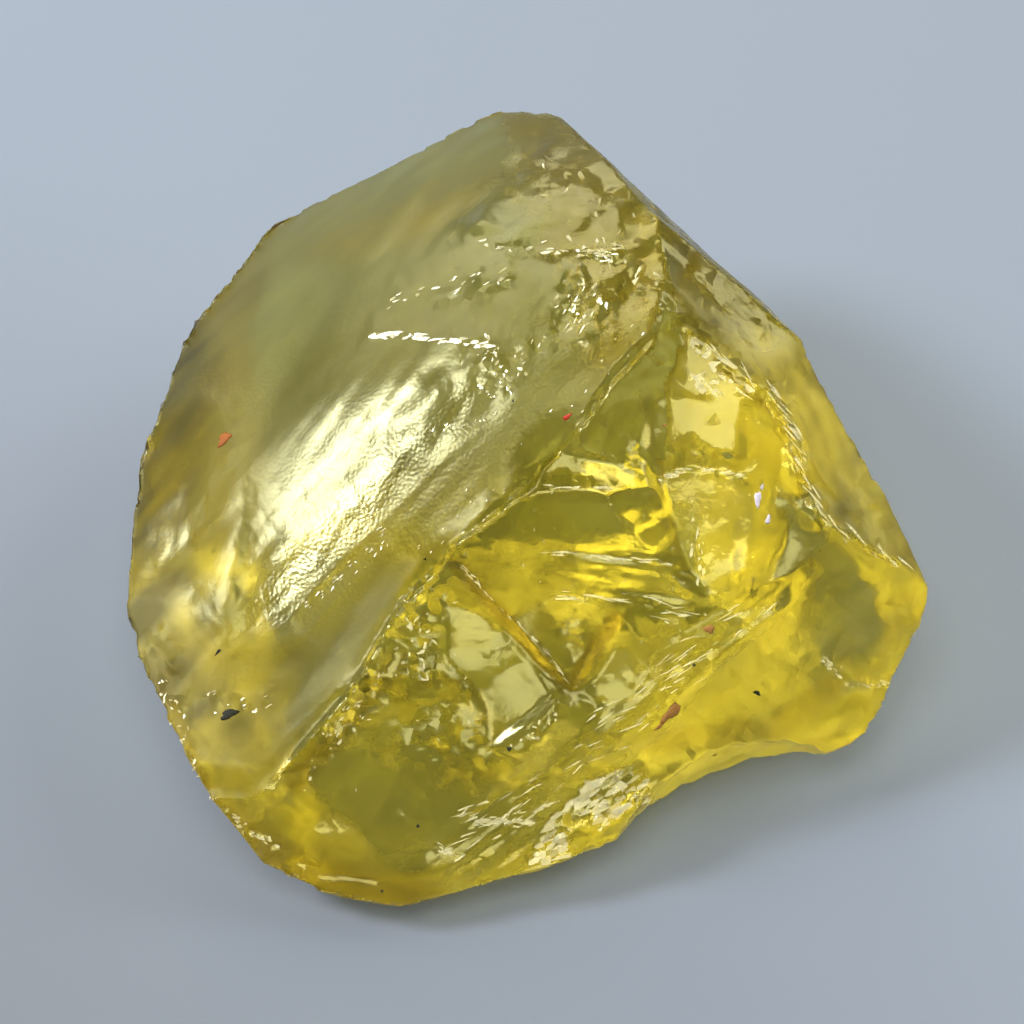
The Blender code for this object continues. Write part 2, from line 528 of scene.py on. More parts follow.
# The great face. It is one smooth swell; soft diagonal waves lie on its far side, straight fine
# streaks cross its middle, and small chips and grains follow its upper right and the ridge.
MOST_RAISED, MOST_SUNK = -0.6, 0.8
ridge_far, _, _ = to_line(LONG_RIDGE)
swelling = great * shown * smooth_step(6.0, 40.0, ridge_far)
above_sheet = even_sheet(great * shown, middle=(350.0, 450.0), spread=250.0)
sunk = sunk + swelling * np.clip(above_sheet, MOST_RAISED, MOST_SUNK)
FAR_SIDE = great * beside([(205, 480), (225, 380), (330, 250), (470, 160)], 150)
streaks(FAR_SIDE, angle=56, spacing=60, length=170, depth=0.11, seed=3)
streaks(FAR_SIDE, angle=52, spacing=26, length=90, depth=0.05, seed=17)
streaks(great, angle=48, spacing=12, length=60, depth=0.010, seed=4)
streaks(great * beside([(300, 270), (420, 220), (540, 170)], 110), angle=40, spacing=18, length=40,
        depth=0.030, seed=18)
LOW_LIP = [(80, 592), (160, 592), (225, 642), (245, 654), (300, 632), (372, 550), (415, 562),
           (300, 745), (250, 815), (150, 810), (80, 720)]
gleam(great * inside(LOW_LIP, 9.0), np.array((-0.22, -0.04)), share=0.7)
LIP_END = [(170, 712), (262, 708), (285, 752), (250, 815), (200, 820)]
gleam(great * inside(LIP_END, 12.0), np.array((-0.24, 0.06)), share=0.8)
LEFT_EDGE = [(80, 400), (205, 410), (228, 500), (224, 600), (222, 636), (160, 588), (80, 588)]
gleam(great * inside(LEFT_EDGE, 22.0), np.array((-0.90, -0.66)), share=0.9)
HIGHLIGHT = [(236, 640), (250, 560), (285, 470), (330, 400), (395, 375), (450, 365), (480, 395),
             (440, 450), (400, 500), (373, 532), (330, 575), (288, 624)]
streaks(inside(HIGHLIGHT, 14.0), angle=57, spacing=14, length=600, depth=0.008, seed=2)
streaks(great * beside([(270, 600), (340, 450), (430, 400)], 110), angle=57, spacing=10, length=400,
        depth=0.006, seed=5)
streaks(great * beside([(300, 640), (430, 560), (560, 440)], 120), angle=42, spacing=9, length=110,
        depth=0.006, seed=6)
# The streaked part ends at a break; below it the face falls away to the ridge and is duller.
DULL_EDGE = [(180, 700), (236, 650), (288, 622), (330, 575), (374, 532), (400, 505), (450, 455),
             (505, 410), (580, 340), (640, 280)]
slide(DULL_EDGE, lean=0.20, reach=90.0, fade=260.0)
gleam(great * inside(HIGHLIGHT, 22), LAMP_SLOPE, share=0.45)
ledge([(288, 622), (330, 575), (374, 532)], height=0.03, riser=4, fade=60)
ledge([(300, 640), (345, 590), (384, 548)], height=-0.03, riser=4, fade=30)
WING = [(385, 392), (420, 352), (470, 350), (500, 380), (455, 384), (425, 400), (426, 418),
        (440, 432), (462, 430), (440, 462), (402, 508), (376, 500), (386, 440)]
gleam(inside(WING, 10), LAMP_SLOPE, share=0.9)
SLIVER = [(366, 334), (385, 329), (420, 334), (450, 341), (486, 341), (470, 348), (430, 353),
          (395, 346)]
gleam(inside(SLIVER, 1.5), LAMP_SLOPE)
CRESCENT = [(427, 400), (440, 388), (470, 386), (497, 400), (490, 416), (462, 426), (440, 430),
            (426, 416)]
gleam(inside(CRESCENT, 3), LAMP_SLOPE + (0.16, 0.12), share=0.9)
shatter(beside([(483, 352), (500, 385)], 22), size=8, lean=0.35, seed=7)
chips(inside([(483, 243), (510, 240), (560, 252), (618, 250), (612, 262), (560, 266), (500, 256)],
             2), size=9, toward=LAMP_SLOPE, spread=0.25, seed=72, angle=-8, stretch=3.0)
shatter(inside([(556, 290), (575, 268), (600, 290), (597, 330), (560, 330)], 3), size=9, lean=0.55,
        seed=11, angle=60, stretch=3.0)
shatter(inside([(590, 180), (640, 190), (662, 240), (672, 285), (640, 300), (600, 300), (580, 240)],
               6), size=22, lean=0.34, seed=12, angle=40, stretch=1.6)
shatter(inside([(520, 130), (590, 150), (600, 200), (560, 220), (500, 180)], 10), size=20,
        lean=0.20, seed=13)
shatter(inside([(380, 250), (480, 230), (540, 270), (560, 330), (480, 320), (400, 300)], 16),
        size=22, lean=0.10, seed=73, angle=50, stretch=2.0)
chips(inside([(425, 300), (500, 270), (520, 285), (440, 312)], 5), size=9, toward=LAMP_SLOPE,
      spread=0.35, seed=74, angle=30, stretch=2.0)
shatter(beside([(470, 360), (540, 345), (600, 330)], 20), size=7, lean=0.28, seed=14)
shatter(beside([(160, 640), (176, 740), (200, 800)], 30), size=11, lean=0.35, seed=15)
shatter(beside([(215, 700), (262, 702)], 14), size=7, lean=0.4, seed=16)

# The window. Flat and curved breaks meet in it at all angles.
shatter(inside([(440, 560), (640, 400), (760, 380), (760, 600), (560, 760), (420, 800), (300, 870),
                (220, 800)], 8), size=40, lean=0.08, seed=30)
shatter(inside([(640, 400), (643, 430), (640, 468), (596, 452), (560, 450), (612, 405)], 5),
        size=22, lean=0.16, seed=19, angle=60, stretch=2.0)
tilt([(640, 400), (643, 430), (640, 468), (596, 452), (590, 430), (612, 405)], lean=(0.30, -0.25))
BRIGHT_PATCH = [(541, 462), (560, 450), (590, 458), (645, 470), (652, 490), (545, 492), (522, 498)]
gleam(inside(BRIGHT_PATCH, 2), FRONT_SLOPE)
shatter(inside(BRIGHT_PATCH, 3), size=14, lean=0.06, seed=29, angle=0, stretch=2.5)
tilt([(485, 500), (545, 494), (660, 492), (672, 520), (688, 572), (694, 606), (640, 600),
      (566, 584), (500, 560), (478, 530)], lean=(0.06, 0.10))
gleam(inside([(670, 399), (730, 393), (738, 418), (736, 454), (713, 448), (686, 429)], 2),
      FRONT_SLOPE)
tilt([(681, 344), (688, 388), (659, 413)], lean=(-0.5, 0.1))
tilt([(648, 413), (672, 410), (697, 454), (690, 462), (655, 459)], lean=(0.15, -0.4))
PANEL = [(661, 478), (747, 480), (757, 500), (752, 540), (737, 590), (707, 587), (688, 572), (672, 520)]
gleam(inside(PANEL, 3), FRONT_SLOPE + (0.06, 0.12))
PLAIN = [
    PANEL,
    [(485, 500), (545, 494), (640, 496), (660, 540), (640, 585), (566, 580), (500, 556)],
    [(450, 568), (490, 566), (560, 592), (620, 612), (566, 688), (500, 620)],
    [(448, 600), (478, 614), (530, 664), (556, 702), (522, 744), (494, 744), (468, 678)],
]
chips(beside([(659, 478), (690, 467), (715, 471), (745, 478)], 4), size=6, toward=LAMP_SLOPE,
      spread=0.2, seed=75)
tilt([(450, 566), (490, 560), (560, 586), (640, 602), (615, 622), (567, 690), (530, 655),
      (480, 600)], lean=(0.05, 0.10))
ledge([(456, 560), (484, 590), (532, 638), (572, 690)], height=0.24, riser=15, fade=130)
ledge([(568, 693), (586, 655), (602, 634), (620, 614)], height=0.10, riser=13, fade=60)
RIGHT_ARM = [(566, 696), (576, 664), (600, 636), (622, 611), (614, 650), (592, 682)]
gleam(inside(RIGHT_ARM, 2), np.array((0.50, 0.25)), share=0.9)
chips(beside([(455, 562), (482, 594), (532, 644), (568, 688)], 2.5), size=7, toward=FRONT_SLOPE,
      spread=0.25, seed=76, angle=-47, stretch=3.0)
tilt([(432, 600), (470, 612), (556, 697), (541, 747), (489, 705), (467, 682), (440, 679)],
     lean=(-0.15, -0.15))
gleam(inside([(448, 600), (478, 614), (530, 664), (558, 702), (548, 726), (522, 752), (494, 744),
              (484, 702), (468, 678), (446, 664)], 4), FRONT_SLOPE + (0.0, 0.02))
LENS = [(400, 697), (420, 686), (440, 679), (467, 682), (486, 704), (497, 745), (480, 800), (430, 820),
        (390, 800), (385, 745)]
gleam(inside(LENS, 12), np.array((-0.06, 0.26)), share=0.45)
shatter(inside(LENS, 4), size=24, lean=0.16, seed=89)
CRUMBS = [(386, 640), (400, 600), (432, 565), (449, 600), (440, 640), (434, 679), (410, 676)]
shatter(inside(CRUMBS, 4), size=12, lean=0.50, seed=21)
chips(inside(CRUMBS, 4), size=12, toward=FRONT_SLOPE, spread=0.24, seed=77)
shatter(inside([(307, 770), (318, 735), (345, 700), (376, 655), (392, 640), (384, 690), (350, 740)],
               4), size=10, lean=0.45, seed=22)
groove([(400, 655), (350, 725), (290, 785)], depth=0.22, width=18)
tilt([(195, 794), (256, 799), (295, 780), (330, 800), (290, 860), (240, 840)], lean=(0.25, 0.2),
     soft=3.0)
tilt([(330, 800), (390, 780), (410, 830), (380, 880), (310, 870)], lean=(-0.2, 0.25), soft=4.0)
shatter(beside([(195, 790), (235, 830), (295, 880)], 22), size=14, lean=0.40, seed=23)
chips(beside([(232, 818), (280, 849)], 5), size=8, toward=FRONT_SLOPE, spread=0.3, seed=78)
STREAKED = [(548, 548), (670, 548), (700, 575), (690, 618), (566, 606)]
streaks(inside(STREAKED, 6), angle=-9, spacing=8, length=90, depth=0.03, seed=24)
GLINTS = [(688, 526), (740, 520), (745, 580), (700, 590)]
streaks(inside(GLINTS, 6), angle=78, spacing=9, length=60, depth=0.02, seed=25)
shatter(inside(GLINTS, 6), size=18, lean=0.12, seed=26, angle=80, stretch=2.0)
TOP_RIGHT = [(684, 326), (702, 336), (752, 384), (756, 398), (700, 399), (687, 388)]
chips(beside([(515, 750), (553, 716)], 6), size=6, toward=FRONT_SLOPE, spread=0.4, seed=28)
feathers(inside([(562, 586), (640, 596), (690, 600), (676, 622), (610, 612)], 4), angle=-9,
         spacing=7, length=90, share=0.9, toward=FRONT_SLOPE, seed=79)
feathers(inside([(541, 548), (624, 555), (670, 552), (670, 566), (560, 562)], 3), angle=-7,
         spacing=6, length=90, share=0.9, toward=FRONT_SLOPE, seed=80)
feathers(inside([(688, 526), (712, 518), (722, 580), (700, 590)], 3), angle=80, spacing=6,
         length=60, share=1.0, toward=FRONT_SLOPE, seed=81)
PALE_LOW = [(484, 690), (518, 662), (556, 702), (548, 728), (522, 752), (494, 746)]
gleam(inside(PALE_LOW, 4), FRONT_SLOPE + (-0.20, -0.10), share=1.0)
bowls(inside([(420, 590), (640, 500), (760, 600), (560, 760), (420, 760)], 5), count=24, size=5.0,
      depth=0.015, seed=29)

# The strip and its ridge: streaks along the ridge, which is nicked all the way down.
streaks(strip, angle=-48, spacing=12, length=190, depth=0.035, seed=31)
streaks(beside(RIGHT_RIDGE[1:], 26), angle=-48, spacing=8, length=120, depth=0.04, seed=32)
shatter(beside(RIGHT_RIDGE[1:-2], 13), size=9, lean=0.5, seed=33, angle=-50, stretch=2.5)
chips(beside([(711, 327), (755, 371), (796, 421), (814, 489), (841, 519), (880, 549)], 8), size=9,
      toward=SIDE_SLOPE, spread=0.16, seed=82, angle=-50, stretch=4.0)
feathers(strip * beside(RIGHT_RIDGE[1:], 46), angle=-50, spacing=8, length=160, share=0.9,
         toward=SIDE_SLOPE, seed=83)
feathers(strip * beside([(676, 246), (722, 292), (776, 344)], 34), angle=-45, spacing=8, length=150,
         share=0.9, toward=SIDE_SLOPE, seed=90)
shatter(strip, size=30, lean=0.10, seed=34, angle=-50, stretch=3.0)
gleam(inside(TOP_RIGHT, 3), FRONT_SLOPE, share=1.0)
feathers(inside(TOP_RIGHT, 6), angle=-47, spacing=9, length=90, share=0.5,
         toward=FRONT_SLOPE + (0.10, -0.10), seed=27)
feathers(inside([(668, 292), (684, 296), (722, 334), (700, 341), (684, 330)], 4), angle=-40,
         spacing=9, length=60, share=1.0, toward=FRONT_SLOPE, seed=91)
gleam(strip * beside([(676, 236), (714, 272), (764, 330)], 36), SIDE_SLOPE, share=1.5)
feathers(strip * beside([(676, 240), (722, 292), (776, 350)], 30), angle=-43, spacing=7, length=160,
         share=0.5, toward=SIDE_SLOPE + (0.2, -0.2), seed=92)
groove([(668, 292), (688, 262), (700, 235)], depth=0.10, width=9)

# The frosty band and the lobe.
streaks(band, angle=36, spacing=12, length=150, depth=0.045, seed=41)
streaks(band, angle=30, spacing=7, length=70, depth=0.015, seed=42)
shatter(band, size=16, lean=0.16, seed=46, angle=33, stretch=3.5)
tilt([(676, 700), (690, 675), (716, 662), (704, 684)], lean=(0.3, 0.3))
WHITE_CHIPS = [(545, 828), (590, 775), (639, 772), (650, 800), (600, 832)]
LOW_CHIPS = [(530, 865), (540, 832), (569, 830), (574, 858)]
chips(inside(WHITE_CHIPS, 5), size=12, toward=FRONT_SLOPE, spread=0.25, seed=43)
chips(inside(LOW_CHIPS, 4), size=10, toward=FRONT_SLOPE, spread=0.25, seed=44)
chips(beside([(474, 824), (500, 820), (529, 824)], 5), size=9, toward=FRONT_SLOPE, spread=0.2,
      seed=84, angle=5, stretch=2.5)
chips(beside([(437, 846), (464, 858)], 4), size=8, toward=FRONT_SLOPE, spread=0.2, seed=85)
feathers(band, angle=35, spacing=11, length=150, share=0.8, toward=FRONT_SLOPE, seed=86)
feathers(band, angle=30, spacing=6, length=60, share=0.4, toward=FRONT_SLOPE, seed=87)
tilt([(787, 608), (831, 640), (843, 688), (800, 720), (700, 730), (716, 664)], lean=(-0.06, 0.10),
     soft=14.0)
tilt([(787, 608), (790, 560), (840, 560), (905, 600), (905, 640), (831, 640)], lean=(0.06, -0.10),
     soft=12.0)
chips(beside([(823, 658), (850, 685)], 5), size=7, toward=FRONT_SLOPE, spread=0.3, seed=88)
shatter(beside([(823, 655), (850, 688), (892, 686)], 11), size=8, lean=0.4, seed=45)
streaks(lobe, angle=34, spacing=16, length=130, depth=0.045, seed=48)
streaks(lobe, angle=-40, spacing=9, length=70, depth=0.018, seed=49)
shatter(lobe, size=36, lean=0.10, seed=47)

# The leaning patches are joined up: the heights are those whose rises fit the wanted leans best, so
# that neighbouring breaks meet in a crease. The pull back to the block keeps the whole shape.
sides = np.concatenate([triangles[:, (0, 1)], triangles[:, (1, 2)], triangles[:, (2, 0)]])
pairs = np.unique(np.sort(sides), axis=0)
PULL_BACK = 0.002
STEPS_TO_SETTLE = 300
one, other = pairs.T
count = len(points)
neighbours = np.bincount(one, minlength=count) + np.bincount(other, minlength=count)
firm = np.minimum(hold[one], hold[other])
pull = (np.bincount(one, weights=firm, minlength=count)
        + np.bincount(other, weights=firm, minlength=count) + PULL_BACK)
rise = firm * ((slope[one] + slope[other]) * (seen[other] - seen[one])).sum(axis=1) * 0.5 * PIXEL


def spread_out(height):
    """What a set of heights asks of every point: its pull on the neighbours, and theirs on it."""
    return (pull * height - np.bincount(one, weights=firm * height[other], minlength=count)
            - np.bincount(other, weights=firm * height[one], minlength=count))


height = np.zeros(count)
left = (np.bincount(other, weights=rise, minlength=count)
        - np.bincount(one, weights=rise, minlength=count))
way = left / pull
strength = left @ way
for _ in range(STEPS_TO_SETTLE):
    answer = spread_out(way)
    stride = strength / (way @ answer)
    height += stride * way
    left -= stride * answer
    eased = left / pull
    new_strength = left @ eased
    way = eased + (new_strength / strength) * way
    strength = new_strength
sunk = sunk + height * shown

# Wear takes the sharpness off: every point moves part of the way to the mean of its neighbours.
WEAR = 0.35
mean = (np.bincount(one, weights=sunk[other], minlength=count)
        + np.bincount(other, weights=sunk[one], minlength=count)) / neighbours
sunk = sunk + WEAR * (mean - sunk)

sight = points - view_from
sight /= np.linalg.norm(sight, axis=1)[:, None]
points = points + sight * sunk[:, None]
points[:, 2] = np.maximum(points[:, 2], 0.0)

# Masks over the stone, kept on its points for the material. Worn is how far the face has lost its
# gloss: the broad faces most, the fresh chips least, and the hidden sides in patches.
GOLDEN_TOP = [(520, 110), (600, 130), (670, 220), (675, 290), (610, 350), (560, 330), (530, 270),
              (470, 280), (440, 240)]
STRIP_TOP = [(676, 236), (714, 272), (764, 330)]
LEAST_WORN = 0.32
white = np.maximum(inside(WHITE_CHIPS, 8), inside(LOW_CHIPS, 8))
worn = np.maximum.reduce([0.62 * great, 0.80 * strip, 0.55 * lobe, 0.45 * band,
                          np.full(len(seen), LEAST_WORN)])
worn = worn - 0.20 * inside(HIGHLIGHT, 20.0) - 0.28 * great * inside(GOLDEN_TOP, 48.0)
worn = worn + 0.32 * great * inside(LOW_LIP, 15.0) - 0.08 * great * inside(LEFT_EDGE, 50.0)
worn = worn - 0.42 * strip * beside(STRIP_TOP, 44)
hidden_patches = smooth_step(-0.3, 0.4, rolling(points, size=2.0, seed=9))
worn = worn * shown * (1.0 - 0.5 * white) + (0.50 + 0.45 * hidden_patches) * (1.0 - shown)

# Grit is the even grain that follows the long ridge.
GRITTY_LINE = [(300, 600), (376, 545), (420, 480), (470, 440), (560, 350), (640, 300)]
grit = 0.35 + 0.65 * beside(GRITTY_LINE, 70)

# This mask darkens the skin's colour towards olive. Its patches are a random cloudy tone, but how
# strong it is, region by region, is painted shade: it is strongest on the left edge and the low lip of
# the great face, along the bottom rim and on the strip, where those faces are darkened as if shaded.
LEFT_LOW = [(110, 530), (170, 540), (228, 600), (236, 660), (268, 712), (288, 752), (250, 815),
            (190, 805), (130, 700), (105, 600)]
olive_and_shade = np.maximum.reduce([
    1.05 * strip, 1.15 * great * inside(LOW_LIP, 20.0), 0.42 * great, 0.18 * lobe, 0.07 * band,
    1.3 * great * inside(LEFT_LOW, 24.0),
    0.85 * beside([(150, 700), (200, 800), (290, 880), (400, 905)], 60),
    1.4 * great * beside([(150, 690), (128, 600), (140, 480), (170, 370)], 90),
    0.32 * inside([(566, 496), (655, 494), (672, 520), (690, 600), (600, 600), (540, 570)], 10.0),
    0.65 * inside([(770, 500), (830, 520), (850, 600), (790, 600), (740, 600)], 16.0),
    0.22 * inside([(470, 570), (560, 590), (610, 620), (566, 680), (500, 610)], 8.0)])

# This mask is painted shade: a darker amber painted along the risers of the steps, under the ridges and
# in the thick rims, and a little over the whole lobe. Each is (amount, width, line).
LOBE_DEPTH = 0.16
SHADE_LINES = [
    (1.0, 12, [(454, 564), (482, 594), (530, 644), (567, 690)]),
    (1.0, 14, [(571, 688), (586, 662), (602, 638), (616, 620)]),
    (0.7, 18, [(394, 662), (350, 722), (296, 782)]),
    (0.5, 8, [(398, 700), (420, 686), (440, 679), (467, 682), (486, 704), (494, 735)]),
    (0.3, 12, [(536, 486), (570, 448), (600, 416), (640, 372), (664, 320)]),
    (0.6, 9, [(690, 345), (740, 388), (772, 410), (792, 450), (806, 500)]),
    (0.5, 9, [(541, 495), (600, 497), (655, 494)]),
    (0.5, 9, [(650, 400), (656, 460), (668, 520), (690, 590)]),
    (0.5, 12, [(560, 180), (600, 215), (640, 250), (650, 290)]),
    (0.4, 34, [(646, 290), (622, 340), (580, 390)]),
    (0.4, 10, [(520, 262), (570, 266), (620, 268), (650, 300)]),
    (0.5, 14, [(672, 292), (690, 262), (702, 235)]),
    (0.7, 30, [(206, 806), (260, 850), (330, 885), (430, 900)]),
    (0.5, 16, [(160, 680), (180, 740), (204, 796)]),
    (0.45, 30, [(842, 650), (870, 630), (905, 610)]),
    (0.6, 24, [(770, 730), (800, 712), (830, 690)]),
    (0.6, 22, [(660, 742), (700, 738), (740, 728)]),
    (0.5, 14, [(928, 600), (905, 680), (870, 735), (800, 750)]),
]
amber_shade = np.maximum.reduce([amount * beside(line, width) for amount, width, line in SHADE_LINES])
amber_shade = np.maximum(amber_shade, LOBE_DEPTH * lobe) * shown

# The fine relief is softer on the great face and almost gone on the plain breaks of the window.
crumble = crumble * shown * (1.0 - 0.5 * great)
for outline in PLAIN:
    crumble = crumble * (1.0 - 0.7 * inside(outline, 6.0))
stone_layers = {"worn": worn, "grit": grit, "olive_and_shade": olive_and_shade, "amber_shade": amber_shade, "crumble": crumble}

# The finished stone: its mesh in metres, in place of the plain solid.
WORN_EDGE = math.radians(58.0)
stone_mesh = bpy.data.meshes.new("rough_topaz")
stone_mesh.from_pydata((points * MM).tolist(), [], triangles.tolist())
stone_mesh.shade_smooth()
stone_mesh.set_sharp_from_angle(angle=WORN_EDGE)
for name, values in stone_layers.items():
    layer = stone_mesh.attributes.new(name, "FLOAT", "POINT")
    layer.data.foreach_set("value", values.astype(np.float32))
stone = bpy.data.objects.new("rough_topaz", stone_mesh)
bpy.context.scene.collection.objects.link(stone)

# Clear topaz: light passes through its surface and is tinted by the yellow inside. A clean glance off
# its skin is yellow too. Where it is worn, its skin is rougher. Its colour is darkened to olive in
# random cloudy patches and as painted shade on some faces, and to amber as painted shade along the
# risers, under the ridges and in the rims.
GLANCE_COLOUR = (1.0, 0.96, 0.42, 1.0)
CLEAR_YELLOW = (0.88, 0.83, 0.29, 1.0)
OLIVE_AND_SHADE = (0.10, 0.09, 0.045, 1.0)
SHADE_AMBER = (0.42, 0.31, 0.05, 1.0)
crystal = bpy.data.materials.new("clear_topaz")
crystal.use_nodes = True
nodes, links = crystal.node_tree.nodes, crystal.node_tree.links
glass = nodes["Principled BSDF"]
glass.inputs["IOR"].default_value = TOPAZ_IOR
glass.inputs["Transmission Weight"].default_value = 1.0
glass.inputs["Specular IOR Level"].default_value = 1.0
glass.inputs["Specular Tint"].default_value = GLANCE_COLOUR


def node(kind, **settings):
    """A new node of the crystal's material, with its settings and its unlinked sockets filled in."""
    made = nodes.new("ShaderNode" + kind)
    for name, value in settings.items():
        if hasattr(made, name):
            setattr(made, name, value)
        else:
            made.inputs[name.replace("_", " ").title()].default_value = value
    return made


def blend(low, high, by):
    """low where the mask is 0, high where it is 1."""
    made = nodes.new("ShaderNodeMapRange")
    made.inputs["To Min"].default_value = low
    made.inputs["To Max"].default_value = high
    links.new(by, made.inputs["Value"])
    return made.outputs["Result"]


def total(first, second, how="ADD"):
    """Two values added, or joined in another way."""
    made = nodes.new("ShaderNodeMath")
    made.operation = how
    links.new(first, made.inputs[0])
    links.new(second, made.inputs[1])
    return made.outputs[0]


def vector(operation, *given):
    """The outcome of a vector sum whose terms are sockets or plain numbers."""
    made = node("VectorMath", operation=operation)
    for socket, value in zip(made.inputs, given):
        if isinstance(value, tuple):
            socket.default_value = value
        else:
            links.new(value, socket)
    return made.outputs["Value" if operation == "DOT_PRODUCT" else "Vector"]


def mask(name):
    """One of the masks kept on the stone's points."""
    return node("Attribute", attribute_name=name).outputs["Fac"]


def mixed(first, second, by):
    """A mask's blend of two colours, the second of which is plain."""
    made = nodes.new("ShaderNodeMix")
    made.data_type = "RGBA"
    made.inputs["B"].default_value = second
    links.new(by, made.inputs["Factor"])
    if isinstance(first, tuple):
        made.inputs["A"].default_value = first
    else:
        links.new(first, made.inputs["A"])
    return made.outputs["Result"]


place = node("TexCoord").outputs["Object"]
GRAIN_WAY = (0.65, 0.595, 0.464)
GRAIN_STRETCH = 5.0


def streaky(scale, detail):
    """Noise drawn out along the crystal's grain, which runs with the long ridge."""
    squeeze = 1.0 - 1.0 / GRAIN_STRETCH
    along = vector("DOT_PRODUCT", place, GRAIN_WAY)
    shift = vector("MULTIPLY", along, tuple(part * squeeze for part in GRAIN_WAY))
    made = node("TexNoise", Scale=scale, Detail=detail)
    links.new(vector("SUBTRACT", place, shift), made.inputs["Vector"])
    return made.outputs["Fac"]


cloudy = streaky(scale=900.0, detail=1.0)
worn_rough = blend(0.0, 0.60, mask("worn"))
links.new(total(worn_rough, blend(0.70, 1.30, cloudy), "MULTIPLY"), glass.inputs["Roughness"])
# Painted shade: the olive mask darkens the base colour where faces are made to look shaded.
clouded_and_shaded = total(blend(0.0, 1.2, cloudy), mask("olive_and_shade"), "MULTIPLY")
tint = mixed(CLEAR_YELLOW, OLIVE_AND_SHADE, clouded_and_shaded)
# Painted shade: the amber mask darkens the colour along the risers, under the ridges and in the rims.
links.new(mixed(tint, SHADE_AMBER, mask("amber_shade")), glass.inputs["Base Color"])

# Relief finer than the mesh. An even grain is a bump. The tiny flat facets each have a lean of their
# own; the part of a facet's lean that lies along the skin tips the grained normal.
GRAINS_PER_METRE = 9000.0
GRAIN_HEIGHT = 0.00001
FACETS_PER_METRE = 3000.0
FACET_LEAN = 2.0
TO_VIEW = VIEW_ELEVATION - math.pi / 2

even_grain = node("TexNoise", Scale=GRAINS_PER_METRE, Detail=0.0)
links.new(place, even_grain.inputs["Vector"])
bump = node("Bump", Distance=GRAIN_HEIGHT)
links.new(total(even_grain.outputs["Fac"], mask("grit"), "MULTIPLY"), bump.inputs["Height"])
grained_normal = bump.outputs["Normal"]

turned_place = node("Mapping", Rotation=(TO_VIEW, 0.0, 0.0))
links.new(place, turned_place.inputs["Vector"])
facets = node("TexVoronoi", voronoi_dimensions="2D", Scale=FACETS_PER_METRE)
links.new(turned_place.outputs["Vector"], facets.inputs["Vector"])
cell_lean = vector("SUBTRACT", facets.outputs["Color"], (0.5, 0.5, 0.5))
turned_back = node("Mapping", vector_type="VECTOR", Rotation=(-TO_VIEW, 0.0, 0.0))
links.new(vector("MULTIPLY", cell_lean, (FACET_LEAN, FACET_LEAN, 0.0)), turned_back.inputs["Vector"])
in_world = node("VectorTransform", vector_type="VECTOR", convert_from="OBJECT", convert_to="WORLD")
links.new(turned_back.outputs["Vector"], in_world.inputs["Vector"])
facet_lean = vector("MULTIPLY", in_world.outputs["Vector"], mask("crumble"))
leant = vector("SUBTRACT", grained_normal, facet_lean)
outward = vector("DOT_PRODUCT", grained_normal, facet_lean)
facet_normal = vector("NORMALIZE", vector("MULTIPLY_ADD", grained_normal, outward, leant))
links.new(facet_normal, glass.inputs["Normal"])

# The yellow inside: the farther light goes through the crystal, the more of its blue is taken out.
INSIDE_COLOUR = (0.980, 0.945, 0.60, 1.0)
INSIDE_DENSITY = 250.0
absorption = nodes.new("ShaderNodeVolumeAbsorption")
absorption.inputs["Color"].default_value = INSIDE_COLOUR
absorption.inputs["Density"].default_value = INSIDE_DENSITY
links.new(absorption.outputs["Volume"], nodes["Material Output"].inputs["Volume"])
stone_mesh.materials.append(crystal)

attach(stone, "root")
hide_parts(STONE)

# ---------------------------------------------------------------------------------------------------
# Flakes. Tiny scales of other minerals, black, rust-brown, red, orange and lilac, that grew into the
# skin of the crystal. Each is a low dome with a jagged rim, sunk a little way into the stone.
FLAKE_SIDES = 14
FLAKE_THICKNESS = 0.35
FLAKE_ROWS = ((1.0, -0.6), (1.02, 0.0), (0.7, 0.6))
FLAKE_LUMPS = 0.15
FLAKE_GRAINS_PER_METRE = 9000.0
FLAKE_RELIEF = 0.00002
FLAKE_GLOSS = 0.25
skin_tree = BVHTree.FromPolygons(points.tolist(), triangles.tolist())

# The grain of broken mineral, for the flakes here and the splinters below: one noise varies the colour
# between two, the roughness between two, and the relief.
mineral_grain = bpy.data.node_groups.new("mineral_grain", "ShaderNodeTree")
for name, kind in (("Scale", "Float"), ("First Colour", "Color"), ("Second Colour", "Color"),
                   ("Smoothest", "Float"), ("Roughest", "Float"), ("Relief", "Float")):
    mineral_grain.interface.new_socket(name, in_out="INPUT", socket_type="NodeSocket" + kind)
for name, kind in (("Colour", "Color"), ("Roughness", "Float"), ("Normal", "Vector")):
    mineral_grain.interface.new_socket(name, in_out="OUTPUT", socket_type="NodeSocket" + kind)
grain_in, grain_out, grain_place, grain_noise, grain_mix, grain_rough, grain_bump = (
    mineral_grain.nodes.new(kind) for kind in (
        "NodeGroupInput", "NodeGroupOutput", "ShaderNodeTexCoord", "ShaderNodeTexNoise",
        "ShaderNodeMix", "ShaderNodeMapRange", "ShaderNodeBump"))
grain_mix.data_type = "RGBA"
